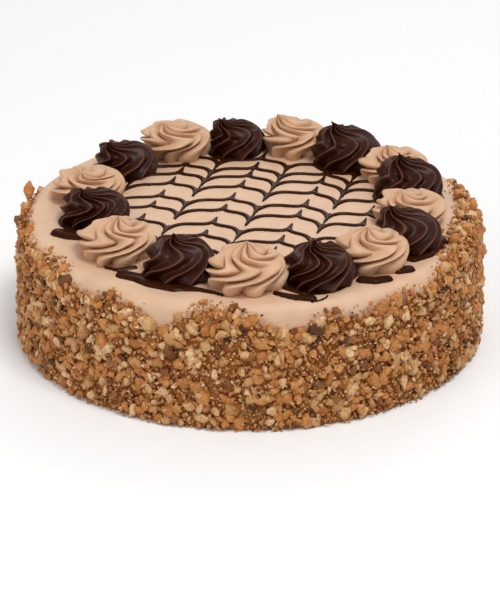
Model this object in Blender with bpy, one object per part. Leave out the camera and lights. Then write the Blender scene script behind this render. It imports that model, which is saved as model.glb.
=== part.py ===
"""A round iced coffee cake: chopped nuts on its side, chocolate lines feathered over its top,
and a ring of piped rosettes, coffee and chocolate by turns.

Lengths are in metres, +Z is up, and the origin is the centre of the flat base.
"""

import math
import random

import bmesh
import bpy
from mathutils import Matrix, Vector

MM = 0.001

# The whole cake
ICING_RADIUS = 115.5 * MM
TOP_HEIGHT = 63.5 * MM
SHOULDER_RADIUS = 6 * MM
COAT_RADIUS = 121.9 * MM
JOINT_GAP = 0.3 * MM
MERGE = 0.02 * MM
SHARP_ANGLE = math.radians(35)

# The bed of fine crumbs that the chopped nuts sit in, full to a share of the side and then thinner
BED_AT_BASE = 4.2 * MM
BED_AT_EDGE = 2.4 * MM
BED_FULL_TO = 0.45
BED_HALF_AT = 0.88
SIDE_COLUMNS = 64
SHOULDER_ROWS = 4

# The ragged upper edge of the nuts: degrees round from +X, and height in millimetres
COAT_EDGE = (
    (0, 60), (22, 56), (48, 50), (75, 58), (98, 53), (124, 57), (150, 51), (172, 60),
    (193, 47), (206, 51), (220, 57), (233, 58), (247, 49), (264, 62), (280, 54),
    (290, 60), (298, 53), (307, 58), (321, 49), (340, 52),
)

# Chopped nuts: the tilt is in radians, and the jitter is a share of each side
NUT_COUNT = 204
NUT_LONGEST = 9.5 * MM
NUT_SHORTEST = 6.0 * MM
NUT_PROPORTIONS = (1.0, 0.74, 0.56)
NUT_TILT = 0.5
NUT_JITTER = 0.2
NUT_PROUD = 0.12
NUT_REACH = 0.3
NUT_FLOOR = 0.7 * MM
NUT_SEED = 11
GOLDEN_SHARE = 0.618034

# Feathered chocolate lines on the top
LINE_WIDTH = 2.8 * MM
LINE_HEIGHT = 0.8 * MM
STROKE_HEIGHT = 0.6 * MM
LINE_END_HEIGHT = 1.5 * MM
LINE_SINK = 0.5 * MM
PULL_STEPS = (-7.0, -2.6, 0.0, 2.6, 7.0)
PUSH_STEPS = (-2.6, 0.0, 2.6)
STROKE_STEP = 2.0 * MM
FIELD_RADIUS = 66 * MM
STROKE_SLANT = 0.29
LINE_SLOPE = -0.20
LINE_BOW = -1.3
LINE_OFFSETS = (52.6, 41.4, 27.4, 10.1, -3.3, -20.8, -35.5)
PULL_LANES = (-73.8, -35.3, 3.2, 42.0)
PUSH_LANES = (-52.3, -14.3, 26.2)
PULL_DEPTH = 7.5 * MM
PUSH_DEPTH = 3.5 * MM
PULL_REACH = 3.6 * MM
PUSH_REACH = 2.4 * MM
PULL_WIDTH = 1.7 * MM
PUSH_WIDTH = 0.9 * MM

# Piped rosettes: flavour, degrees round from +X, then in millimetres the distance out, the radius,
# the height, and how far the tip leans along X and along Y
ROSETTES = (
    ("coffee", 31.6, 87.8, 18.0, 16.5, -2.8, 4.0),
    ("chocolate", 51.9, 82.6, 18.6, 21.8, -7.7, 6.3),
    ("coffee", 74.3, 87.3, 17.6, 19.5, -9.0, 3.3),
    ("chocolate", 95.4, 82.8, 16.4, 20.5, -9.5, -3.9),
    ("coffee", 117.0, 88.7, 19.0, 18.5, -6.5, -6.7),
    ("chocolate", 141.4, 86.1, 17.6, 19.2, -8.3, -7.0),
    ("coffee", 165.9, 88.2, 19.0, 16.0, -1.5, -8.0),
    ("chocolate", 188.8, 80.5, 18.8, 19.5, -5.8, -4.8),
    ("coffee", 218.7, 85.1, 19.6, 18.5, 1.8, 4.5),
    ("chocolate", 245.2, 84.6, 18.2, 20.5, -1.4, 3.3),
    ("coffee", 268.3, 87.5, 19.4, 19.0, 1.0, 7.5),
    ("chocolate", 291.1, 90.7, 17.9, 21.0, -2.5, 2.2),
    ("coffee", 312.0, 86.7, 18.0, 19.0, -1.0, 1.4),
    ("chocolate", 331.5, 87.6, 18.0, 20.5, -9.0, 3.1),
    ("coffee", 352.2, 80.8, 18.4, 17.0, -3.9, -4.0),
    ("chocolate", 13.2, 83.5, 18.8, 22.3, -4.6, 6.5),
)

# How each flavour is piped: ridges, samples on a ridge, groove depth and the swirl in degrees
PIPING = {
    "chocolate": {"ridges": 8, "samples": 3, "groove": 0.20, "bulge": 34, "curl": 42, "sharp": 1.6},
    "coffee": {"ridges": 6, "samples": 4, "groove": 0.27, "bulge": 38, "curl": 48, "sharp": 0.6},
}

GROOVE_SINK = 0.5
LEAN_POWER = 4

# Rosette profiles from the tip down: share of the radius, and share of the height
PROFILE = {
    "chocolate": ((0, 1), (0.11, 0.9), (0.45, 0.83), (0.76, 0.69), (0.96, 0.44), (1, 0.2), (0.93, 0)),
    "coffee": ((0, 1), (0.25, 0.96), (0.55, 0.89), (0.82, 0.73), (1, 0.45), (0.97, 0.18), (0.88, 0)),
}

# Ends of the chocolate lines that show outside the ring: points and width in millimetres
LINE_ENDS = (
    (((10, -106), (21, -107), (32, -106.5)), 4.0),
    (((37, -103.5), (33, -107.5)), 1.4),
    (((54, -87.5), (61.5, -87), (69, -83.5)), 4.4),
    (((76.5, -75.5), (79, -72.5)), 4.6),
    (((80.2, -63), (86.2, -61.5), (93.2, -56), (97.7, -48)), 3.6),
    (((-62.8, -82), (-53.8, -90), (-41.8, -97), (-27.8, -99)), 4.4),
)

COLOURS = {
    "icing": ((0.72, 0.53, 0.37), 0.55),
    "chocolate": ((0.035, 0.018, 0.012), 0.35),
    "coffee": ((0.70, 0.50, 0.34), 0.6),
}


def material(name):
    """A Principled material in one of the cake's colours."""
    colour, roughness = COLOURS[name]
    made = bpy.data.materials.get(name) or bpy.data.materials.new(name)
    made.use_nodes = True
    shader = made.node_tree.nodes["Principled BSDF"]
    shader.inputs["Base Color"].default_value = (*colour, 1)
    shader.inputs["Roughness"].default_value = roughness
    shader.inputs["Metallic"].default_value = 0
    return made


def add_object(name, bm, finish, collection=None):
    """Makes an object of a finished bmesh, shaded smooth."""
    bmesh.ops.recalc_face_normals(bm, faces=bm.faces)
    mesh = bpy.data.meshes.new(name)
    bm.to_mesh(mesh)
    bm.free()
    mesh.materials.append(material(finish))
    mesh.shade_smooth()
    mesh.set_sharp_from_angle(angle=SHARP_ANGLE)
    made = bpy.data.objects.new(name, mesh)
    (collection or bpy.context.scene.collection).objects.link(made)
    return made


def wrapped_form(columns, rows, place):
    """A closed form from a grid: place(u, v) gives a point, u once round and v from start to end."""
    bm = bmesh.new()
    bmesh.ops.create_grid(bm, x_segments=columns, y_segments=rows, size=0.5)
    for vert in bm.verts:
        vert.co = place(vert.co.x + 0.5, vert.co.y + 0.5)
    bmesh.ops.remove_doubles(bm, verts=bm.verts, dist=MERGE)
    bmesh.ops.holes_fill(bm, edges=bm.edges, sides=0)
    return bm


def between(points, place):
    """The value at a place along (place, value) pairs, eased from each to the next."""
    for (start, low), (end, high) in zip(points, points[1:]):
        if place <= end:
            share = (place - start) / (end - start)
            return low + (high - low) * (0.5 - 0.5 * math.cos(math.pi * share))
    return points[-1][1]


def coat_edge(angle):
    """Height of the nuts' ragged upper edge at an angle round the cake."""
    closed = (*COAT_EDGE, (360 + COAT_EDGE[0][0], COAT_EDGE[0][1]))
    return between(closed, math.degrees(angle) % 360) * MM


def body_profile():
    """Radius, height and the share of the crumb bed there, from the base up to the flat top."""
    bend = TOP_HEIGHT - SHOULDER_RADIUS
    rows = [
        (ICING_RADIUS, 0, 1),
        (ICING_RADIUS, BED_FULL_TO * bend, 1),
        (ICING_RADIUS, BED_HALF_AT * bend, 0.5),
    ]
    for step in range(SHOULDER_ROWS + 1):
        turn = 0.5 * math.pi * step / SHOULDER_ROWS
        out = ICING_RADIUS - SHOULDER_RADIUS * (1 - math.cos(turn))
        rows.append((out, bend + SHOULDER_RADIUS * math.sin(turn), 0))
    return rows


def iced_body():
    """The solid cake and its icing, with the crumb bed round the side."""
    rows = body_profile()

    def place(u, v):
        radius, height, bed = rows[round(v * (len(rows) - 1))]
        thick = BED_AT_EDGE + (BED_AT_BASE - BED_AT_EDGE) * (1 - height / TOP_HEIGHT)
        angle = 2 * math.pi * u
        out = radius + bed * thick
        return Vector((out * math.cos(angle), out * math.sin(angle), height))

    bm = wrapped_form(SIDE_COLUMNS, len(rows) - 1, place)
    return add_object("cake", bm, "icing")


def chopped_nut(index, draw, pieces):
    """One angular chip of nut, lying flat on the side and half sunk in the crumb bed."""
    size = draw.uniform(NUT_SHORTEST, NUT_LONGEST)
    angle = 2 * math.pi * index / NUT_COUNT
    low = NUT_FLOOR + 0.5 * size
    high = max(low, coat_edge(angle) - 0.5 * size * NUT_PROPORTIONS[2])
    height = low + (high - low) * (index * GOLDEN_SHARE % 1)
    bm = bmesh.new()
    bmesh.ops.create_cube(bm, size=1)
    for vert in bm.verts:
        jitter = [draw.uniform(-NUT_JITTER, NUT_JITTER) for _ in range(3)]
        sides = zip(vert.co, jitter, NUT_PROPORTIONS)
        vert.co = Vector([(side + change) * size * share for side, change, share in sides])
    turns = (
        (math.pi * draw.random(), "Z"),
        (0.5 * math.pi, "Y"),
        (draw.uniform(-NUT_TILT, NUT_TILT), "X"),
        (draw.uniform(-NUT_TILT, NUT_TILT), "Y"),
        (angle, "Z"),
    )
    for turn, axis in turns:
        bmesh.ops.rotate(bm, verts=bm.verts, matrix=Matrix.Rotation(turn, 3, axis))
    bed = BED_AT_BASE + (BED_AT_EDGE - BED_AT_BASE) * height / TOP_HEIGHT
    out = min(ICING_RADIUS + bed + NUT_PROUD * size, COAT_RADIUS - NUT_REACH * size)
    centre = Vector((out * math.cos(angle), out * math.sin(angle), height))
    bmesh.ops.translate(bm, verts=bm.verts, vec=centre)
    sunk = NUT_FLOOR - min(vert.co.z for vert in bm.verts)
    for vert in bm.verts:
        vert.co.xy *= min(1, COAT_RADIUS / vert.co.xy.length)
        vert.co.z += max(0, sunk)
    add_object(f"nut_{index}", bm, "icing", pieces)


def rosette_centre(index):
    """The middle of a rosette's base, on the plane of the cake's top."""
    degrees, distance = ROSETTES[index][1:3]
    angle = math.radians(degrees)
    return Vector((distance * math.cos(angle), distance * math.sin(angle), 0)) * MM


def parting_planes(index):
    """Where each neighbour's share of the room begins: its direction, and the distance to it."""
    planes = []
    for other in ((index - 1) % len(ROSETTES), (index + 1) % len(ROSETTES)):
        across = rosette_centre(other) - rosette_centre(index)
        share = ROSETTES[index][3] / (ROSETTES[index][3] + ROSETTES[other][3])
        planes.append((across.normalized(), across.length * share - 0.5 * JOINT_GAP))
    return planes


def rosette(index, name):
    """A swirl piped with a star nozzle: ridges run out from the tip, swing round and curl back."""
    flavour, degrees, _, radius, height, lean_x, lean_y = ROSETTES[index]
    lean = Vector((lean_x, lean_y, 0)) * MM
    piping = PIPING[flavour]
    profile = PROFILE[flavour]
    planes = parting_planes(index)
    centre = rosette_centre(index)

    def place(u, v):
        row = round(v * (len(profile) - 1))
        out, up = profile[row]
        swing = math.radians(piping["bulge"]) * math.sin(math.pi * v)
        swing -= math.radians(piping["curl"]) * v ** 3
        angle = 2 * math.pi * u + math.radians(degrees) + swing
        crest = (0.5 + 0.5 * math.cos(2 * math.pi * u * piping["ridges"])) ** piping["sharp"]
        groove = piping["groove"] * (1 - crest) * min(1, 3 * v)
        out *= (1 - groove) * radius * MM
        lift = up * (1 - GROOVE_SINK * groove) * height * MM
        point = Vector((out * math.cos(angle), out * math.sin(angle), lift)) + lean * up ** LEAN_POWER
        for across, room in planes:
            point -= max(0, point.dot(across) - room) * across
        return point

    bm = wrapped_form(piping["ridges"] * piping["samples"], len(profile) - 1, place)
    made = add_object(name, bm, flavour)
    made.location = centre + Vector((0, 0, TOP_HEIGHT + JOINT_GAP))
    return made


def bead(name, route, height, pieces):
    """A low bead of chocolate along (point, width) pairs, sunk a little into the icing."""
    section = ((-0.5, -1), (0, 1), (0.5, -1))

    def place(u, v):
        row = round(v * (len(route) - 1))
        point, width = route[row]
        ahead = route[min(row + 1, len(route) - 1)][0] - route[max(row - 1, 0)][0]
        side = Vector((-ahead.y, ahead.x)).normalized()
        across, up = section[round(u * len(section)) % len(section)]
        level = TOP_HEIGHT + (height if up > 0 else -LINE_SINK)
        flat = point + side * across * width
        return Vector((flat.x, flat.y, level))

    add_object(name, wrapped_form(len(section), len(route) - 1, place), "chocolate", pieces)


def clear_of_rosettes(point, margin):
    """True where a bead may lie without touching a rosette."""
    for index, row in enumerate(ROSETTES):
        if (point - rosette_centre(index).xy).length < row[3] * MM + margin:
            return False
    return point.length < FIELD_RADIUS


def line_point(offset, lane):
    """A point of a feathered line: lane runs across the strokes that pulled and pushed it."""
    level = offset + LINE_SLOPE * lane + LINE_BOW * lane * lane
    for middle in PULL_LANES:
        level -= PULL_DEPTH * math.exp(-abs(lane - middle * MM) / PULL_REACH)
    for middle in PUSH_LANES:
        level += PUSH_DEPTH * math.exp(-abs(lane - middle * MM) / PUSH_REACH)
    return Vector((lane + STROKE_SLANT * level, level))


def clear_runs(points):
    """The stretches of a route that lie clear of the rosettes."""
    runs = [[]]
    for point in points:
        if clear_of_rosettes(point, LINE_WIDTH):
            runs[-1].append(point)
        elif runs[-1]:
            runs.append([])
    return [run for run in runs if len(run) > 2]


def feathered_lines(pieces):
    """The piped chocolate lines, with points only where a stroke bends them."""
    lanes = [lane + step for lane in PULL_LANES for step in PULL_STEPS]
    lanes += [lane + step for lane in PUSH_LANES for step in PUSH_STEPS]
    for row, offset in enumerate(LINE_OFFSETS):
        route = [line_point(offset * MM, lane * MM) for lane in sorted(lanes)]
        for part, run in enumerate(clear_runs(route)):
            bead(f"line_{row}_{part}", [(point, LINE_WIDTH) for point in run], LINE_HEIGHT, pieces)


def feathering_strokes(pieces):
    """The thin straight streaks left where the lines were pulled and pushed."""
    steps = round(2 * FIELD_RADIUS / STROKE_STEP)
    levels = [step * STROKE_STEP - FIELD_RADIUS for step in range(steps + 1)]
    for width, strokes in ((PULL_WIDTH, PULL_LANES), (PUSH_WIDTH, PUSH_LANES)):
        for lane in strokes:
            route = [Vector((lane * MM + STROKE_SLANT * level, level)) for level in levels]
            for part, run in enumerate(clear_runs(route)):
                ends = [(run[0], width), (run[-1], width)]
                bead(f"stroke_{lane}_{part}", ends, STROKE_HEIGHT, pieces)


def line_ends(pieces):
    """Short thick ends of the chocolate lines, outside the ring of rosettes."""
    for index, (points, width) in enumerate(LINE_ENDS):
        route = [(Vector(point) * MM, width * MM) for point in points]
        bead(f"line_end_{index}", route, LINE_END_HEIGHT, pieces)


def largest_shell(mesh):
    """Keeps the outer shell of a mesh, which fills any hollow and drops any loose scrap."""
    bm = bmesh.new()
    bm.from_mesh(mesh)
    unseen = set(bm.verts)
    shells = []
    while unseen:
        shell = set()
        edge_of_shell = [unseen.pop()]
        while edge_of_shell:
            vert = edge_of_shell.pop()
            shell.add(vert)
            for edge in vert.link_edges:
                other = edge.other_vert(vert)
                if other in unseen:
                    unseen.remove(other)
                    edge_of_shell.append(other)
        shells.append(shell)
    kept = max(shells, key=len)
    scraps = [vert for shell in shells if shell is not kept for vert in shell]
    bmesh.ops.delete(bm, geom=scraps, context="VERTS")
    bmesh.ops.triangulate(bm, faces=bm.faces)
    bm.to_mesh(mesh)
    bm.free()


def fuse(body, pieces):
    """Joins every piece to the body in one Boolean union, applies it and removes the pieces."""
    union = body.modifiers.new("toppings", "BOOLEAN")
    union.operation = "UNION"
    union.operand_type = "COLLECTION"
    union.collection = pieces
    union.solver = "MANIFOLD"
    graph = bpy.context.evaluated_depsgraph_get()
    joined = bpy.data.meshes.new_from_object(body.evaluated_get(graph))
    body.modifiers.clear()
    body.data = joined
    largest_shell(joined)
    joined.shade_smooth()
    joined.set_sharp_from_angle(angle=SHARP_ANGLE)
    for piece in list(pieces.objects):
        bpy.data.objects.remove(piece)
    bpy.data.collections.remove(pieces)


def build():
    for old in list(bpy.data.objects):
        bpy.data.objects.remove(old)
    body = iced_body()
    pieces = bpy.data.collections.new("toppings")
    bpy.context.scene.collection.children.link(pieces)
    draw = random.Random(NUT_SEED)
    for index in range(NUT_COUNT):
        chopped_nut(index, draw, pieces)
    feathered_lines(pieces)
    feathering_strokes(pieces)
    line_ends(pieces)
    fuse(body, pieces)
    counts = {"chocolate": 0, "coffee": 0}
    for index, (flavour, *_) in enumerate(ROSETTES):
        counts[flavour] += 1
        rosette(index, f"{flavour}_rosette_{counts[flavour]}")


build()
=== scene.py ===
import math
import random

import bmesh
import bpy
import numpy as np
from mathutils import Matrix, Vector, noise


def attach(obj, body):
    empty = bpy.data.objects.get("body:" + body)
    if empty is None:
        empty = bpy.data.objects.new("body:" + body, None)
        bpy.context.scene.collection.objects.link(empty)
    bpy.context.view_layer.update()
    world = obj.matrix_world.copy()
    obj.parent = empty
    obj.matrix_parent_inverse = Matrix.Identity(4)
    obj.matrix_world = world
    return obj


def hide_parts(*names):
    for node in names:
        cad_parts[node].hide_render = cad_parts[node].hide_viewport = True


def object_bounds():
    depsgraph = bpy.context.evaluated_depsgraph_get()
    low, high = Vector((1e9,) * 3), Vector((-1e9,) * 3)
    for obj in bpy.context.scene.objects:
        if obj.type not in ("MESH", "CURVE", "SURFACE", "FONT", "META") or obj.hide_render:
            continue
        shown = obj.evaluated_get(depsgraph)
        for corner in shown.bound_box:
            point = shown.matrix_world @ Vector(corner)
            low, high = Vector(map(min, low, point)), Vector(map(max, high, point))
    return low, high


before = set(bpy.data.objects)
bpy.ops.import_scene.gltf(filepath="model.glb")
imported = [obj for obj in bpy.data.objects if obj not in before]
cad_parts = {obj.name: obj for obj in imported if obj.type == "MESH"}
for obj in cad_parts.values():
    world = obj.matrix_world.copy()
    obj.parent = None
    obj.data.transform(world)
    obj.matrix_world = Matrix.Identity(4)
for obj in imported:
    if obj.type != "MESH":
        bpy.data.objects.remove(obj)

# The looks of a round iced coffee cake. Lengths are in metres, +Z is up, and the origin is the
# centre of the cake's flat base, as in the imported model.

CAD_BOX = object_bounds()
MM = 0.001

# The iced body, as the solid cake has it
ICING_RADIUS = 115.5 * MM
TOP_HEIGHT = 63.5 * MM
SHOULDER_RADIUS = 6 * MM

# The nuts end just inside the reach of the solid cake's own
COAT_REACH = max(abs(value) for corner in CAD_BOX for value in corner[:2]) - 0.08 * MM

# The ragged upper edge of the nuts: degrees round from +X, and how far it lies from the base in
# millimetres, along the side and round the shoulder
COAT_EDGE = (
    (0, 72.5), (8, 71.5), (14, 70), (20, 65), (26, 60), (48, 52), (75, 60), (98, 54), (124, 59),
    (150, 55), (165, 62), (173, 64), (187, 66), (199, 63), (206, 66), (213, 67.5), (218, 67),
    (221.5, 60.5), (227.5, 58.5), (231, 61), (235, 63), (239, 60.5), (244.3, 58.5), (246.2, 52), (248.5, 51),
    (251.5, 55), (254, 59.5), (257, 65), (260.5, 67), (265, 65), (269, 62.5), (272.3, 60),
    (274.5, 55), (283, 51.5), (285, 58), (290, 60), (296.5, 57), (301, 59), (306, 61), (311, 61),
    (316.5, 58.5), (324, 64), (330, 70), (336, 72.5), (344, 75), (352, 74),
)

# Large pieces of nut that stand out: kind, degrees round, then in millimetres how far out,
# how high, length, width and thickness, and the turn from upright in degrees
LARGE_NUTS = (
    ("golden", 170, 116.5, 65.5, 13, 8, 7, 15), ("golden", 173, 118, 57, 11, 7.5, 5, 50),
    ("golden", 183, 118, 47, 7, 6, 5, 80), ("pale", 190, 117, 49, 7, 6, 5, 20),
    ("golden", 8, 109, 66.5, 9, 6.5, 6, 75), ("golden", 359, 114, 67.5, 10, 6.5, 5.5, 40),
    ("pale", 353, 107.5, 66.5, 7.5, 6, 5, 80), ("golden", 345, 113, 66, 9, 7, 6, 60),
    ("golden", 2, 117, 60, 8, 6, 5, 50), ("golden", 357, 118, 55, 9.5, 6, 5, 20),
    ("golden", 352, 119, 49, 8, 6, 5, 65), ("golden", 350, 119.5, 35, 8, 6.5, 5, 80),
    ("golden", 306, 117.5, 53, 9, 5, 4.5, 15),
    ("brown", 290.5, 116.5, 59, 4.6, 4, 3, 50), ("pale", 286.5, 117, 55, 6.8, 5.5, 4, 10),
    ("golden", 262.6, 116, 61, 6.5, 5, 4, 0), ("golden", 267, 117, 57, 6, 5, 4, 60),
    ("pale", 257, 117.5, 54, 6, 5, 4, 35), ("golden", 232, 118, 55, 7.5, 6, 4.5, 75),
    ("golden", 219, 118, 53, 7, 6, 4.5, 10), ("pale", 299, 117.5, 51, 6.5, 5, 4, 80),
    ("golden", 332, 118, 46, 8, 5.5, 4.5, 30), ("golden", 20, 116.5, 59, 8, 5, 4, 60),
    ("golden", 60, 117, 53, 8, 5, 4, 20), ("golden", 105, 117, 52, 8, 6, 4, 70),
    ("golden", 130, 117, 55, 8, 5, 4, 15),
)

# Chips and crumbs of nut: how many, the smallest and the largest in millimetres, how far the sizes
# lean to small, how far they stand out of the bed as shares of their size, and the draw's seed
CHIPS = {"count": 3300, "smallest": 3.0, "largest": 10.5, "bias": 2.4, "proud": (0.1, 0.5), "seed": 5}
CRUMBS = {"count": 19000, "smallest": 0.9, "largest": 2.7, "bias": 1.5, "proud": (0.1, 1.6), "seed": 8}

# The share of each kind of nut, and how many broken shapes the chips are made from
NUT_MIX = {"pale": 40, "golden": 49, "brown": 11}
SHAPE_COUNT = 12

# How far out the middle of a chip may lie, and how much less by the top, in millimetres
CHIP_REACH = 6.1
CHIP_REACH_LOSS = 2.9

# The bed of crumbs in millimetres: its depth at the base and how much less by the top, how deep
# it dips into the icing past its edge, how far its edge lies below that of the chips, and how
# long it takes to come to its full depth
BED_DEPTH = 2.4
BED_DEPTH_LOSS = 1.6
BED_DIP = 1.6
BED_MARGIN = 1.5
BED_SLOPE = 6

# Feathered chocolate lines, in millimetres where not marked otherwise
STROKE_SLANT = 0.29
LINE_SLOPE = -0.20
LINE_BOW = -0.0013
LINE_OFFSETS = (65.5, 52.6, 41.4, 27.4, 10.1, -3.3, -20.8, -35.5, -50.0)
PULL_LANES = (-73.8, -35.3, 3.2, 42.0)
PUSH_LANES = (-52.3, -14.3, 26.2, 62.0)
PULL_DEPTH = 8.5
PUSH_DEPTH = 4.0
PULL_REACH = 3.4
PUSH_REACH = 2.0
FIELD_REACH = 80.0
LINE_WIDTH = 2.9
PULL_WIDTH = 1.0

# The sheet of chocolate: in millimetres its grid, the side of the square that it is cut from and
# its thickness, and where it ends, in chocolate_field's measure of how far inside a bead a point is
FIELD_STEP = 0.6
FIELD_SIDE = 232.0
FIELD_THICKNESS = 0.4
FIELD_EDGE = -0.75

# Tails that the pulled and pushed strokes draw out of each line: distance along the stroke and
# width, in millimetres
PULL_TAIL = ((1, 2.8), (-2, 2.3), (-5, 1.6), (-9, 0.7))
PUSH_TAIL = ((-1, 3.7), (2.5, 2.4), (6, 1.3), (11, 0.4))

# Thick ends and loops of the lines that show outside the ring, and one thin streak of painted shade: points,
# the width at each, and the height, in millimetres
LINE_ENDS = (
    (((12, -99.5), (16, -102), (22, -104.5), (29, -105)), (2.4, 3.0, 4.2, 5.2), 1.7),
    (((37, -101), (36, -104), (33, -106.5), (29, -108)), (0.6, 1.2, 1.2, 0.6), 0.5),
    (((54, -84.5), (60, -85.5), (66, -83.5)), (6.0, 6.2, 5.6), 1.9),
    (((72, -74), (77, -72.5)), (6.4, 6.4), 2.0),
    (((73, -58), (80, -61.5), (88, -56), (95, -46)), (3, 4.2, 4, 2.6), 1.8),
    (((92, -46), (95.5, -41), (95, -37)), (5.5, 5.5, 3.5), 3.2),
    (((-61, -78.5), (-54, -82), (-47, -88), (-36, -93.5)), (8.0, 8.2, 8.6, 7.6), 1.9),
    (((-36, -93), (-24, -95.5), (-16, -99.5), (-9, -105)), (7.0, 3.6, 2.2, 0.9), 1.2),
    (((-96, -29), (-90, -32), (-80, -34)), (8.0, 9.0, 9.0), 2.4),
    (((-72, -70), (-64, -73), (-56, -70)), (1.4, 3, 3), 1.2),
    (((10, -88), (18, -94), (26, -100)), (1.2, 2.6, 2.6), 1.2),
    # Painted shade: a thin dark streak along a rosette's right edge, drawn like a chocolate line
    (((99.5, 22), (101, 5)), (1.2, 1.0), 0.6),
)

# Piped rosettes: node, degrees round, then in millimetres the distance out, the radius,
# the height, and how far the tip leans along X and along Y
ROSETTES = (
    ("coffee_rosette_1", 31.6, 87.8, 18.0, 16.5, -2.8, 4.0),
    ("chocolate_rosette_1", 51.9, 82.6, 18.6, 21.8, -7.7, 6.3),
    ("coffee_rosette_2", 74.3, 87.3, 17.6, 19.5, -9.0, 3.3),
    ("chocolate_rosette_2", 95.4, 82.8, 16.4, 20.5, -9.5, -3.9),
    ("coffee_rosette_3", 117.0, 88.7, 19.0, 20.0, -6.5, -6.7),
    ("chocolate_rosette_3", 141.4, 86.1, 17.6, 19.2, -8.3, -7.0),
    ("coffee_rosette_4", 165.9, 88.2, 19.0, 16.0, -1.5, -8.0),
    ("chocolate_rosette_4", 188.8, 80.5, 18.8, 19.5, -5.8, -4.8),
    ("coffee_rosette_5", 218.7, 85.1, 19.6, 18.5, 1.8, 4.5),
    ("chocolate_rosette_5", 245.2, 84.6, 18.2, 20.5, -1.4, 3.3),
    ("coffee_rosette_6", 268.3, 87.5, 19.4, 19.0, 1.0, 7.5),
    ("chocolate_rosette_6", 291.1, 90.7, 17.9, 21.0, -2.5, 2.2),
    ("coffee_rosette_7", 312.0, 86.7, 18.0, 19.0, -1.0, 1.4),
    ("chocolate_rosette_7", 331.5, 87.6, 18.0, 20.5, -9.0, 3.1),
    ("coffee_rosette_8", 352.2, 80.8, 18.4, 17.0, -3.9, -4.0),
    ("chocolate_rosette_8", 13.2, 83.5, 18.8, 22.3, -4.6, 6.5),
)

# How each flavour is piped: ridges, grooves as a share of the radius, and by rows from the tip
# down the swing of a ridge in degrees, its share of the radius and its share of the height
PIPING = {
    "chocolate": {
        "ridges": 10, "groove": 0.23,
        "swing": (0, -2, 3, 17, 37, 42, 24, -2, -14, -16),
        "out": (0, 0.045, 0.13, 0.33, 0.56, 0.78, 0.93, 1, 0.99, 0.93),
        "up": (1, 0.945, 0.90, 0.86, 0.80, 0.69, 0.52, 0.30, 0.10, 0),
    },
    "coffee": {
        "ridges": 7, "groove": 0.38,
        "swing": (0, -8, -12, 0, 34, 52, 30, -12, -24, -26),
        "out": (0, 0.09, 0.25, 0.46, 0.67, 0.87, 1, 1.02, 0.98, 0.91),
        "up": (1, 0.96, 0.91, 0.83, 0.75, 0.68, 0.55, 0.36, 0.16, 0),
    },
}

# The sides, in degrees round each rosette, where its ridges hook round most, where its grooves are
# deepest, where the rope of cream folds over itself, and where that fold lies lowest
HOOK_SIDE = 265
DEEP_SIDE = 215
FOLD_SIDE = 240
LOW_FOLD_SIDE = 200

# Lights: name, place in metres, size in metres, watts
LIGHTS = (
    ("key_light", (0.35, -0.55, 1.5), 0.6, 14),
    ("fill_light", (-0.9, -1.0, 0.8), 0.8, 4),
    ("back_light", (0.2, 1.3, 1.0), 1.0, 5),
)

# The camera: how far down it looks in degrees, how far it stands from a point on the cake's axis
# and how high that point is, both in metres, and its lens in millimetres
CAMERA_TILT = 25.4
CAMERA_DISTANCE = 1.27
CAMERA_AIM = 13.06 * MM
CAMERA_LENS = 146.4


# Small helpers

def hex_colour(code):
    """An sRGB hex code as linear red, green, blue and alpha."""
    channels = [int(code[place:place + 2], 16) / 255 for place in (1, 3, 5)]
    return (*[c / 12.92 if c <= 0.04045 else ((c + 0.055) / 1.055) ** 2.4 for c in channels], 1)


def add_node(material, kind, values=None, links=None, stops=None, **settings):
    """Adds a shader node with its settings, socket values, links and colour stops."""
    made = material.node_tree.nodes.new(kind)
    for name, value in settings.items():
        setattr(made, name, value)
    for socket, value in (values or {}).items():
        made.inputs[socket].default_value = value
    for socket, source in (links or {}).items():
        material.node_tree.links.new(source, made.inputs[socket])
    if stops:
        elements = made.color_ramp.elements
        while len(elements) < len(stops):
            elements.new(1)
        for element, (place, code) in zip(elements, stops):
            element.position = place
            element.color = hex_colour(code)
    return made


def new_material(name, **values):
    """A material and its Principled shader, with values by socket name, spaces as underscores."""
    material = bpy.data.materials.new(name)
    material.use_nodes = True
    shader = material.node_tree.nodes["Principled BSDF"]
    for socket, value in values.items():
        shader.inputs[socket.replace("_", " ")].default_value = value
    return material, shader


def finish_piece(name, bm, material, smooth=True):
    """Makes an object of a bmesh and lets it ride on the cake."""
    bmesh.ops.recalc_face_normals(bm, faces=bm.faces)
    mesh = bpy.data.meshes.new(name)
    bm.to_mesh(mesh)
    bm.free()
    return dress(name, mesh, material, smooth)


def dress(name, mesh, material, smooth=True):
    """Gives a finished mesh its object, material, body and slot."""
    mesh.materials.append(material)
    if smooth:
        mesh.shade_smooth()
    piece = bpy.data.objects.new(name, mesh)
    bpy.context.scene.collection.objects.link(piece)
    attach(piece, "root")
    return piece


def wrapped_form(columns, rows, place, attribute=None):
    """A closed form from a grid: place(u, v) gives a point, u once round and v from start to end.

    With an attribute name, place gives the point and the attribute's value there.
    """
    bm = bmesh.new()
    layer = bm.verts.layers.float.new(attribute) if attribute else None
    bmesh.ops.create_grid(bm, x_segments=columns, y_segments=rows, size=0.5)
    for vert in bm.verts:
        made = place(vert.co.x + 0.5, vert.co.y + 0.5)
        if attribute:
            made, vert[layer] = made
        vert.co = made
    # The seam down one side and the two ends are all on the grid's rim
    rim = [vert for vert in bm.verts if vert.is_boundary]
    bmesh.ops.remove_doubles(bm, verts=rim, dist=0.004 * MM)
    bmesh.ops.holes_fill(bm, edges=bm.edges, sides=0)
    return bm


def eased(points, place):
    """The value at a place along (place, value) pairs, eased from each to the next."""
    for (start, low), (end, high) in zip(points, points[1:]):
        if place <= end:
            share = (place - start) / (end - start)
            return low + (high - low) * (0.5 - 0.5 * math.cos(math.pi * share))
    return points[-1][1]


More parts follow.
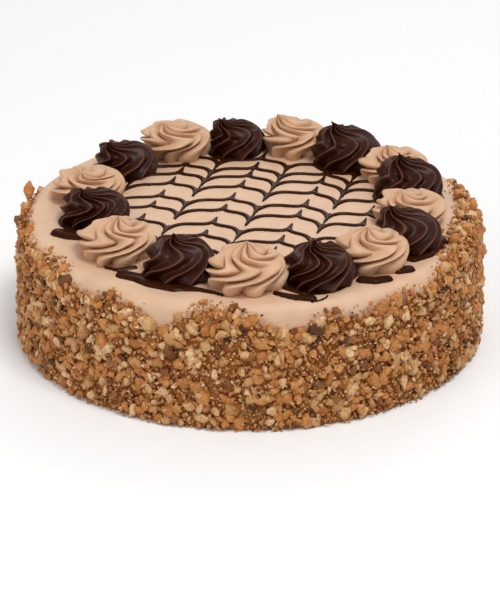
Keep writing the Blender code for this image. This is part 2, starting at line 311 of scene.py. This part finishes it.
def curve(values, place):
    """A smooth curve through evenly spaced values, read at a place from 0 to 1."""
    spot = place * (len(values) - 1)
    index = min(int(spot), len(values) - 2)
    t = spot - index
    last = len(values) - 1
    before, start, end, after = [values[max(0, min(last, index + step))] for step in (-1, 0, 1, 2)]
    bend = (2 * before - 5 * start + 4 * end - after) * t * t
    twist = (3 * start - before - 3 * end + after) * t ** 3
    return 0.5 * (2 * start + (end - before) * t + bend + twist)


def coat_edge(angle):
    """Height of the nuts' ragged upper edge at an angle round the cake."""
    closed = (*COAT_EDGE, (360 + COAT_EDGE[0][0], COAT_EDGE[0][1]))
    return eased(closed, math.degrees(angle) % 360) * MM


def ripple(x, y, z, size, seed=0.0):
    """Smooth noise from -1 to 1 with features of a size in millimetres."""
    scale = 1 / (size * MM)
    return noise.noise(Vector((x * scale + seed, y * scale - seed, z * scale + 2 * seed)))


def icing_radius(height):
    """How far out the icing stands at a height, round its shoulder too."""
    rise = min(1.0, max(0.0, (height - TOP_HEIGHT + SHOULDER_RADIUS) / SHOULDER_RADIUS))
    return ICING_RADIUS - SHOULDER_RADIUS * (1 - math.sqrt(1 - rise * rise))


def icing_drop(radius):
    """How far the icing lies below the top at a distance from the middle, both in millimetres."""
    past = np.clip((radius - (ICING_RADIUS - SHOULDER_RADIUS) / MM) * MM / SHOULDER_RADIUS, 0, 1)
    return SHOULDER_RADIUS / MM * (1 - np.sqrt(1 - past * past))


# Materials

def buttercream(name, light, dark, bubble_mm, strength):
    """Coffee buttercream, beaten smooth: pale tan and matt, faintly mottled, a little light goes in."""
    material, shader = new_material(
        name, Roughness=0.55, IOR=1.45, Subsurface_Weight=0.12,
        Subsurface_Radius=(1.0, 0.6, 0.38), Subsurface_Scale=1.6 * MM)
    place = add_node(material, "ShaderNodeTexCoord")
    mottle = add_node(material, "ShaderNodeTexNoise", {"Scale": 1 / (9 * MM), "Detail": 3.0},
                      {"Vector": place.outputs["Object"]})
    tint = add_node(material, "ShaderNodeValToRGB", None, {"Fac": mottle.outputs["Fac"]},
                    ((0.3, dark), (0.7, light)))
    grain = add_node(material, "ShaderNodeTexNoise", {"Scale": 1 / (bubble_mm * MM), "Detail": 3.0},
                     {"Vector": place.outputs["Object"]})
    bump = add_node(material, "ShaderNodeBump", {"Strength": strength, "Distance": 0.25 * MM},
                    {"Height": grain.outputs["Fac"]})
    links = material.node_tree.links
    links.new(tint.outputs["Color"], shader.inputs["Base Color"])
    links.new(bump.outputs["Normal"], shader.inputs["Normal"])
    return material


def chocolate(name, light, dark, crest, roughness, gloss):
    """Dark chocolate cream, piped: deep brown with a satin sheen and a painted highlight on each ridge's
    crest.
    """
    material, shader = new_material(name, Roughness=roughness, IOR=1.48, Specular_IOR_Level=gloss)
    place = add_node(material, "ShaderNodeTexCoord")
    mottle = add_node(material, "ShaderNodeTexNoise", {"Scale": 1 / (5 * MM), "Detail": 3.0},
                      {"Vector": place.outputs["Object"]})
    tint = add_node(material, "ShaderNodeValToRGB", None, {"Fac": mottle.outputs["Fac"]},
                    ((0.3, dark), (0.75, light)))
    # Painted highlight: the crest attribute mixes a paler colour in along each ridge of a rosette
    ridge = add_node(material, "ShaderNodeAttribute", attribute_name="crest")
    crest_highlight = add_node(material, "ShaderNodeMapRange", {"From Min": 0.8, "From Max": 1.0, "To Max": 0.8},
                     {"Value": ridge.outputs["Fac"]})
    mixed = add_node(material, "ShaderNodeMix", {"B": hex_colour(crest)},
                     {"Factor": crest_highlight.outputs["Result"], "A": tint.outputs["Color"]}, data_type="RGBA")
    grain = add_node(material, "ShaderNodeTexNoise", {"Scale": 1 / (0.9 * MM), "Detail": 2.0},
                     {"Vector": place.outputs["Object"]})
    bump = add_node(material, "ShaderNodeBump", {"Strength": 0.25, "Distance": 0.1 * MM},
                    {"Height": grain.outputs["Fac"]})
    links = material.node_tree.links
    links.new(mixed.outputs["Result"], shader.inputs["Base Color"])
    links.new(bump.outputs["Normal"], shader.inputs["Normal"])
    return material


def chopped_nut(name, stops, speck):
    """Toasted nut, broken with a knife: dry and matt, each chip with its own tone and darker specks."""
    material, shader = new_material(
        name, Roughness=0.6, IOR=1.46, Specular_IOR_Level=0.35, Subsurface_Weight=0.1,
        Subsurface_Radius=(1.0, 0.5, 0.22), Subsurface_Scale=1.2 * MM)
    place = add_node(material, "ShaderNodeTexCoord")
    tone = add_node(material, "ShaderNodeAttribute", attribute_name="tone")
    tint = add_node(material, "ShaderNodeValToRGB", None, {"Fac": tone.outputs["Fac"]}, stops)
    specks = add_node(material, "ShaderNodeTexNoise",
                      {"Scale": 1 / (1.5 * MM), "Detail": 4.0, "Roughness": 0.7},
                      {"Vector": place.outputs["Object"]})
    cover = add_node(material, "ShaderNodeMapRange", {"From Min": 0.45, "From Max": 0.7, "To Max": 0.8},
                     {"Value": specks.outputs["Fac"]})
    mixed = add_node(material, "ShaderNodeMix", {"B": hex_colour(speck)},
                     {"Factor": cover.outputs["Result"], "A": tint.outputs["Color"]}, data_type="RGBA")
    bump = add_node(material, "ShaderNodeBump", {"Strength": 0.9, "Distance": 0.5 * MM},
                    {"Height": specks.outputs["Fac"]})
    links = material.node_tree.links
    links.new(mixed.outputs["Result"], shader.inputs["Base Color"])
    links.new(bump.outputs["Normal"], shader.inputs["Normal"])
    return material


# The iced body

def icing_profile():
    """Radius and height from the middle of the base, up the side and in to the middle of the top."""
    bend = TOP_HEIGHT - SHOULDER_RADIUS
    rows = [(0, 0), (0.97 * ICING_RADIUS, 0), (ICING_RADIUS, 0.6 * MM)]
    rows += [(ICING_RADIUS, bend * step / 16) for step in range(1, 17)]
    for step in range(1, 9):
        height = bend + SHOULDER_RADIUS * math.sin(0.5 * math.pi * step / 8)
        rows.append((icing_radius(height), height))
    edge = ICING_RADIUS - SHOULDER_RADIUS
    rows += [(edge * (1 - step / 24), TOP_HEIGHT) for step in range(1, 25)]
    return rows


def icing(material):
    """The icing over the whole cake, with the faint waves that a palette knife leaves."""
    rows = icing_profile()

    def place(u, v):
        radius, height = rows[round(v * (len(rows) - 1))]
        angle = 2 * math.pi * u
        x, y = radius * math.cos(angle), radius * math.sin(angle)
        wave = (0.6 * ripple(x, y, 3 * height, 38, 4.0) + 0.2 * ripple(x, y, 6 * height, 15, 9.0)) * MM
        if height > TOP_HEIGHT - 0.1 * MM:
            return Vector((x, y, height + min(0.1 * MM, 0.35 * wave)))
        if height < 1 * MM:
            return Vector((x, y, height))
        return Vector((x, y, height)) + Vector((x, y, 0)).normalized() * min(0.35 * MM, wave)

    bm = wrapped_form(240, len(rows) - 1, place)
    piece = finish_piece("icing", bm, material)
    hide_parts("cake")
    return piece


# The coat of nuts

def coat_spot(angle, along, out):
    """A point out from the icing, at a length along its profile, and how far that faces up."""
    bend = TOP_HEIGHT - SHOULDER_RADIUS
    rise = max(0.0, min(0.5 * math.pi, (along - bend) / SHOULDER_RADIUS))
    beyond = max(0.0, along - bend - 0.5 * math.pi * SHOULDER_RADIUS)
    radius = ICING_RADIUS - beyond - SHOULDER_RADIUS + (SHOULDER_RADIUS + out) * math.cos(rise)
    height = min(along, bend) + (SHOULDER_RADIUS + out) * math.sin(rise)
    return Vector((radius * math.cos(angle), radius * math.sin(angle), height)), rise


def bed_depth(angle, along):
    """How far out the bed of crumbs stands, without its roughness; past its edge it is in the icing."""
    cover = max(0.0, min(1.0, (coat_edge(angle) - along - BED_MARGIN * MM) / (BED_SLOPE * MM)))
    full = (BED_DEPTH - BED_DEPTH_LOSS * min(1, along / TOP_HEIGHT)) * MM
    return (full + BED_DIP * MM) * cover ** 0.6 - BED_DIP * MM


def nut_bed(material):
    """The bed of fine crumbs under the chopped nuts; its deeper amber partly paints the shade between chips.
    """
    columns = 1000
    rows = 66
    # The stretch of the icing's profile that the bed covers, in millimetres
    lowest = 0.2
    length = 76

    def place(u, v):
        angle = 2 * math.pi * u
        along = (lowest + length * v) * MM
        at, _ = coat_spot(angle, along, 0)
        rough = 0 if v in (0, 1) else 1
        out = bed_depth(angle, along)
        out += rough * (0.9 * ripple(*at, 3.4, 1.0) + 0.6 * ripple(*at, 1.7, 5.0)) * MM
        along += rough * 0.6 * ripple(*at, 2.2, 7.0) * MM
        point, _ = coat_spot(angle, along, out)
        point.xy *= min(1, COAT_REACH / point.xy.length)
        point.z = max(0.15 * MM, point.z)
        return point, 0.5 + 0.5 * ripple(*at, 2.6, 3.0)

    bm = wrapped_form(columns, rows, place, "tone")
    return finish_piece("nut_crumb_bed", bm, material, smooth=False)


def chip_shapes(finer, uneven, seed):
    """Broken lumps of unit size: a ball made knobbly by noise and cut flat on a few sides."""
    draw = random.Random(seed)
    shapes = []
    for _ in range(SHAPE_COUNT):
        bm = bmesh.new()
        bmesh.ops.create_icosphere(bm, subdivisions=finer, radius=0.55)
        start = Vector([draw.uniform(0, 50) for _ in range(3)])
        cuts = [Vector([draw.gauss(0, 1) for _ in range(3)]).normalized() for _ in range(5)]
        for vert in bm.verts:
            knobs = 1 + 0.45 * noise.noise(vert.co * 3.4 + start)
            point = vert.co * knobs * draw.uniform(1 - uneven, 1)
            for cut in cuts:
                point -= cut * max(0, point.dot(cut) - 0.3) * 0.85
            vert.co = point
        bmesh.ops.recalc_face_normals(bm, faces=bm.faces)
        bm.verts.index_update()
        points = np.array([vert.co for vert in bm.verts])
        faces = np.array([[vert.index for vert in face.verts] for face in bm.faces])
        shapes.append((points, faces))
        bm.free()
    return shapes


def scatter(name, shapes, chips, material, sharp):
    """One joined mesh of many chips: each has a shape, its size on three axes, turn, place and tone."""
    points, faces, tones = [], [], []
    count = 0
    for shape, sides, turn, place, tone in chips:
        base, polygons = shapes[shape]
        placed = (base * sides) @ np.array(turn).T + place
        far = np.hypot(placed[:, 0], placed[:, 1]).max()
        placed[:, :2] *= min(1, COAT_REACH / far)
        placed[:, 2] += max(0, 0.1 * MM - placed[:, 2].min())
        points.append(placed)
        faces.append(polygons + count)
        tones.append(np.full(len(base), tone))
        count += len(base)
    mesh = bpy.data.meshes.new(name)
    mesh.from_pydata(np.concatenate(points).tolist(), [], np.concatenate(faces).tolist())
    mesh.attributes.new("tone", "FLOAT", "POINT").data.foreach_set("value", np.concatenate(tones))
    mesh.shade_smooth()
    mesh.set_sharp_from_angle(angle=math.radians(sharp))
    return dress(name, mesh, material, smooth=False)


def chip_turn(draw, angle, rise, tilt, spin):
    """A turn that lays a chip more or less flat on the cake, facing out at an angle and up by a rise."""
    turn = Matrix.Rotation(0.5 * math.pi, 3, "Y") @ Matrix.Rotation(spin, 3, "Z")
    tip = Matrix.Rotation(draw.gauss(0, tilt), 3, "Y") @ Matrix.Rotation(draw.gauss(0, tilt), 3, "Z")
    return Matrix.Rotation(angle, 3, "Z") @ Matrix.Rotation(-rise, 3, "Y") @ tip @ turn


def coat_chips(count, smallest, largest, bias, proud, seed):
    """Chips spread evenly over the side, by kind; sizes in millimetres, few of them large."""
    draw = random.Random(seed)
    golden_share = 0.618034
    kinds = list(NUT_MIX)
    weights = list(NUT_MIX.values())
    sorted_chips = {kind: [] for kind in kinds}
    for index in range(count):
        size = (smallest + (largest - smallest) * draw.random() ** bias) * MM
        angle = 2 * math.pi * (index + draw.uniform(-3, 3)) / count
        top = coat_edge(angle) + draw.gauss(-0.3, 1.2) * MM - 0.3 * max(0, size - 3 * MM)
        low = 0.3 * size
        along = low + (top - low) * ((index * golden_share + draw.uniform(-0.02, 0.02)) % 1)
        kind = draw.choices(kinds, weights)[0]
        sides = np.array([1, draw.uniform(0.45, 0.95), draw.uniform(0.35, 0.75)]) * size
        out = bed_depth(angle, along) + draw.uniform(*proud) * size
        reach = (CHIP_REACH - CHIP_REACH_LOSS * min(1, along / TOP_HEIGHT)) * MM - 0.27 * size
        place, rise = coat_spot(angle, along, min(reach, max(out, 0.1 * size)))
        turn = chip_turn(draw, angle, rise, 0.6, draw.uniform(0, 2 * math.pi))
        sorted_chips[kind].append((draw.randrange(SHAPE_COUNT), sides, turn, place, draw.random()))
    return sorted_chips


def large_nuts(seed):
    """The large pieces that stand out of the coat, by kind."""
    draw = random.Random(seed)
    sorted_chips = {kind: [] for kind in NUT_MIX}
    for kind, degrees, out, height, length, width, thickness, spin in LARGE_NUTS:
        angle = math.radians(degrees)
        sides = np.array([length, width, thickness]) * MM
        place = np.array([out * math.cos(angle), out * math.sin(angle), height]) * MM
        turn = chip_turn(draw, angle, 0, 0.1, math.radians(spin))
        shape = draw.randrange(SHAPE_COUNT)
        sorted_chips[kind].append((shape, sides, turn, place, draw.uniform(0.5, 0.9)))
    return sorted_chips


def nut_coat(materials):
    """The chopped nuts: large and small chips of each kind, and fine crumbs between them."""
    nut_bed(materials["crumb"])
    large = large_nuts(seed=3)
    shapes = chip_shapes(finer=2, uneven=0.2, seed=21)
    for kind, chips in coat_chips(**CHIPS).items():
        scatter(f"chopped_nuts_{kind}", shapes, chips + large[kind], materials[kind], sharp=45)
    shapes = chip_shapes(finer=1, uneven=0.5, seed=22)
    for kind, crumbs in coat_chips(**CRUMBS).items():
        scatter(f"nut_crumbs_{kind}", shapes, crumbs, materials[kind], sharp=25)


# The feathered chocolate on the top

def line_point(offset, lane):
    """A point of a feathered line in millimetres: lane runs across the strokes."""
    level = offset + LINE_SLOPE * lane + LINE_BOW * lane * lane
    for middle in PULL_LANES:
        level -= PULL_DEPTH * math.exp(-abs(lane - middle) / PULL_REACH)
    for middle in PUSH_LANES:
        level += PUSH_DEPTH * math.exp(-abs(lane - middle) / PUSH_REACH)
    return (lane + STROKE_SLANT * level, level)


def beads():
    """Every bead of chocolate, and one streak of painted shade: its points in millimetres, its width (at
    each or all), its height.
    """
    made = []
    lanes = np.arange(-90, 90, 0.7)
    for offset in LINE_OFFSETS:
        route = [line_point(offset, lane) for lane in lanes]
        made.append(([point for point in route if math.hypot(*point) < FIELD_REACH], LINE_WIDTH, 0.95))
        for strokes, tail, height in ((PULL_LANES, PULL_TAIL, 0.85), (PUSH_LANES, PUSH_TAIL, 0.7)):
            for lane in strokes:
                x, y = line_point(offset, lane)
                if math.hypot(x, y) < FIELD_REACH:
                    route = [(x + STROKE_SLANT * step, y + step) for step, _ in tail]
                    made.append((route, [width for _, width in tail], height))
    for lane in PULL_LANES:
        route = [(lane + STROKE_SLANT * level, level) for level in np.arange(-75, 76, 5.0)]
        made.append(([point for point in route if math.hypot(*point) < FIELD_REACH], PULL_WIDTH, 0.6))
    # LINE_ENDS also holds one thin streak of painted shade
    made += list(LINE_ENDS)
    # A pool of thin chocolate under each chocolate rosette
    for node, degrees, distance, radius, *_ in ROSETTES:
        if node.startswith("chocolate"):
            angle = math.radians(degrees)
            middle = (distance * math.cos(angle), distance * math.sin(angle))
            made.append(((middle, (middle[0] - 1.5, middle[1] - 1.0)), 1.72 * radius, 0.8))
    return made


def chocolate_field(points):
    """The height of the chocolate over points of the top, and how far inside a bead each point is.

    Points and heights are in millimetres. Inside runs from 1 on a bead's middle line through 0 at
    its edge, and beads that meet flow together. The height rises steeply at the edge and is
    nearly flat in the middle.
    """
    softness = 3.0
    steepness = 0.35
    total = np.zeros(len(points))
    lift = np.zeros(len(points))
    for route, widths, height in beads():
        route = np.array(route, float)
        near = np.full(len(points), 1e9)
        widths = np.broadcast_to(widths, len(route))
        for start, end, first, last in zip(route, route[1:], widths, widths[1:]):
            low = np.minimum(start, end) - max(first, last) - 4
            high = np.maximum(start, end) + max(first, last) + 4
            close = np.nonzero(((points > low) & (points < high)).all(axis=1))[0]
            if len(close):
                along = end - start
                share = np.clip((points[close] - start) @ along / (along @ along), 0, 1)
                away = np.linalg.norm(points[close] - start - share[:, None] * along, axis=1)
                half = 0.5 * (first + (last - first) * share)
                near[close] = np.minimum(near[close], away / half)
        inside = np.clip(1 - near ** 2, -8, 1)
        weight = np.exp(softness * inside)
        total += weight
        lift += weight * height
    total = np.maximum(total, 1e-9)
    inside = np.log(total) / softness
    return lift / total * (1 + steepness) * inside / (steepness + np.abs(inside)), inside


def chocolate_lines(material):
    """All the thin chocolate on the top, with one streak of painted shade, as one shell, rounded on top and
    set a little into the icing.
    """
    cells = round(FIELD_SIDE / FIELD_STEP)
    bm = bmesh.new()
    bmesh.ops.create_grid(bm, x_segments=cells, y_segments=cells, size=0.5)
    flat = np.array([vert.co[:2] for vert in bm.verts]) * FIELD_SIDE
    heights, inside = chocolate_field(flat)
    drops = icing_drop(np.hypot(flat[:, 0], flat[:, 1]))
    keep = (inside > FIELD_EDGE) & (drops < 0.5 * SHOULDER_RADIUS / MM)
    for vert, (x, y), height, drop in zip(bm.verts, flat, heights, drops):
        vert.co = Vector((x, y, TOP_HEIGHT / MM - drop + max(height, -0.5))) * MM
    spare = [vert for vert, kept in zip(list(bm.verts), keep) if not kept]
    bmesh.ops.delete(bm, geom=spare, context="VERTS")
    # Corners where the sheet hangs together by one point would leave its wall open
    while pinched := [vert for vert in bm.verts if not vert.is_manifold]:
        bmesh.ops.delete(bm, geom=pinched, context="VERTS")
    bmesh.ops.solidify(bm, geom=bm.faces[:], thickness=FIELD_THICKNESS * MM)
    return finish_piece("chocolate_lines", bm, material)


# The rosettes

def rosette(row, material, seed):
    """A swirl piped with a star nozzle: ridges run out from the tip, swing round and curl back."""
    name, degrees, distance, radius, height, lean_x, lean_y = row
    flavour = name.split("_")[0]
    piping = PIPING[flavour]
    draw = random.Random(seed)
    ridges = piping["ridges"] + draw.choice((-1, 0, 0, 1))
    angle = math.radians(degrees)
    centre = Vector((distance * math.cos(angle), distance * math.sin(angle), TOP_HEIGHT / MM)) * MM
    lean = Vector((lean_x, lean_y, 0)) * MM
    phase = draw.random()
    reaches = [draw.uniform(0.90, 1.05) for _ in range(ridges)]
    swings = [draw.uniform(0.85, 1.15) for _ in range(ridges)]
    twist = draw.uniform(0.2, 0.42)
    facing = math.radians(HOOK_SIDE + draw.uniform(-25, 25))
    fold = draw.uniform(0.05, 0.12)

    def around(values, spot):
        """A value for each ridge, eased from one to the next."""
        index = int(spot) % ridges
        share = 0.5 - 0.5 * math.cos(math.pi * (spot % 1))
        return values[index] + (values[(index + 1) % ridges] - values[index]) * share

    def place(u, v):
        """A point of the swirl and how near it is to a ridge: u once round, v from the tip down."""
        out = curve(piping["out"], v)
        up = curve(piping["up"], v)
        around_twice = 0.11 * math.sin(4 * math.pi * u + phase * 9)
        around_thrice = 0.07 * math.sin(6 * math.pi * u + phase * 5)
        spot = (u * ridges + phase + (around_twice + around_thrice)) % ridges
        start = 2 * math.pi * u + angle
        hook = 1 + twist * math.cos(start - facing)
        turn = start + math.radians(curve(piping["swing"], v)) * around(swings, spot) * hook
        half = math.pi * spot
        # Chocolate has sharp ridges between wide hollows, coffee has round ones between creases
        if flavour == "chocolate":
            crest = 1.12 - math.sqrt(math.sin(half) ** 2 + 0.012)
        else:
            crest = (math.cos(half) ** 2 + 0.003) ** 0.38
        deep = 0.9 + 0.25 * math.cos(turn - math.radians(DEEP_SIDE))
        groove = piping["groove"] * (1 - crest) * min(1, 6 * v) * deep
        middle = 0.64 - 0.10 * math.cos(turn - math.radians(LOW_FOLD_SIDE))
        front = max(0, math.cos(0.5 * (turn - math.radians(FOLD_SIDE)))) ** 4
        groove += fold * front * math.exp(-((v - middle) / 0.045) ** 2)
        uneven = around(reaches, spot) - 1 + 0.05 * math.cos(turn - 0.4)
        out = max(0, out * (1 - groove) * (1 + uneven * min(1, 2 * v))) * radius * MM
        lift = max(0, up * (1 - 0.6 * groove)) * height * MM
        point = Vector((out * math.cos(turn), out * math.sin(turn), lift))
        lump = 0.4 * MM * ripple(*(point + centre), 7, seed) * min(1, 4 * v)
        point += Vector((math.cos(turn), math.sin(turn), 0.4)) * lump
        point += lean * up ** 4
        return centre + Vector((point.x, point.y, max(0, point.z))), crest * min(1, 6 * v)

    # The crest value also paints the highlight along the ridges of the chocolate rosettes
    bm = wrapped_form(20 * ridges, 60, place, "crest")
    piece = finish_piece(f"piped_{name}", bm, material)
    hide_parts(name)
    return piece


# The floor, the light and the camera

def stage():
    """A plain pale floor, soft light from high on the front right, and the camera as in the photo."""
    scene = bpy.context.scene
    bm = bmesh.new()
    bmesh.ops.create_grid(bm, x_segments=1, y_segments=1, size=4)
    mesh = bpy.data.meshes.new("floor")
    bm.to_mesh(mesh)
    bm.free()
    material, _ = new_material("matt_white_paper", Base_Color=hex_colour("#F6F6F6"), Roughness=0.9)
    mesh.materials.append(material)
    floor = bpy.data.objects.new("floor", mesh)
    scene.collection.objects.link(floor)

    world = bpy.data.worlds.new("pale_room")
    world.use_nodes = True
    background = world.node_tree.nodes["Background"]
    background.inputs["Color"].default_value = hex_colour("#FFFFFF")
    background.inputs["Strength"].default_value = 0.5
    scene.world = world

    for name, place, size, watts in LIGHTS:
        light = bpy.data.lights.new(name, "AREA")
        light.size = size
        light.energy = watts
        lamp = bpy.data.objects.new(name, light)
        lamp.location = place
        aim = Vector((0, 0, 0.05)) - Vector(place)
        lamp.rotation_euler = aim.to_track_quat("-Z", "Y").to_euler()
        scene.collection.objects.link(lamp)

    lens = bpy.data.cameras.new("camera")
    lens.sensor_fit = "VERTICAL"
    lens.sensor_height = 36
    lens.lens = CAMERA_LENS
    camera = bpy.data.objects.new("camera", lens)
    down = math.radians(CAMERA_TILT)
    away = Vector((0, -math.cos(down), math.sin(down)))
    camera.location = Vector((0, 0, CAMERA_AIM)) + CAMERA_DISTANCE * away
    camera.rotation_euler = (0.5 * math.pi - down, 0, 0)
    scene.collection.objects.link(camera)
    scene.camera = camera
    scene.view_settings.view_transform = "Standard"


def build():
    """Makes every piece of the cake, each with its material, and then the stage."""
    icing(buttercream("smooth_coffee_buttercream", "#D8B496", "#D1AA8A", 1.2, 0.3))
    piped = buttercream("piped_coffee_buttercream", "#D6AE8C", "#C89D79", 0.8, 1.0)
    # 624030 is the painted highlight along the crests of the chocolate rosettes
    cream = chocolate("piped_chocolate_cream", "#3C1807", "#2C0E03", "#624030", 0.4, 0.2)
    for seed, row in enumerate(ROSETTES):
        rosette(row, cream if row[0].startswith("chocolate") else piped, seed + 1)
    chocolate_lines(chocolate("thin_glossy_chocolate", "#3A1908", "#2C1104", "#3A1908", 0.25, 0.08))
    nut_coat({
        "pale": chopped_nut(
            "pale_nut_flesh", ((0.0, "#BC8952"), (0.6, "#D2A672"), (1.0, "#E8C292")), "#955C2A"),
        "golden": chopped_nut(
            "toasted_golden_nut", ((0.0, "#AC6A32"), (0.65, "#CB8E50"), (1.0, "#C47E40")), "#8A4A1C"),
        "brown": chopped_nut(
            "nut_skin", ((0.0, "#3E1F0E"), (0.3, "#774720"), (1.0, "#A06A35")), "#4A260F"),
        # The crumb bed is real nut, but its deeper, redder amber is partly painted shade between the chips
        "crumb": chopped_nut("nut_crumb", ((0.2, "#86410E"), (0.8, "#C2823C")), "#6A3408"),
    })
    stage()


build()
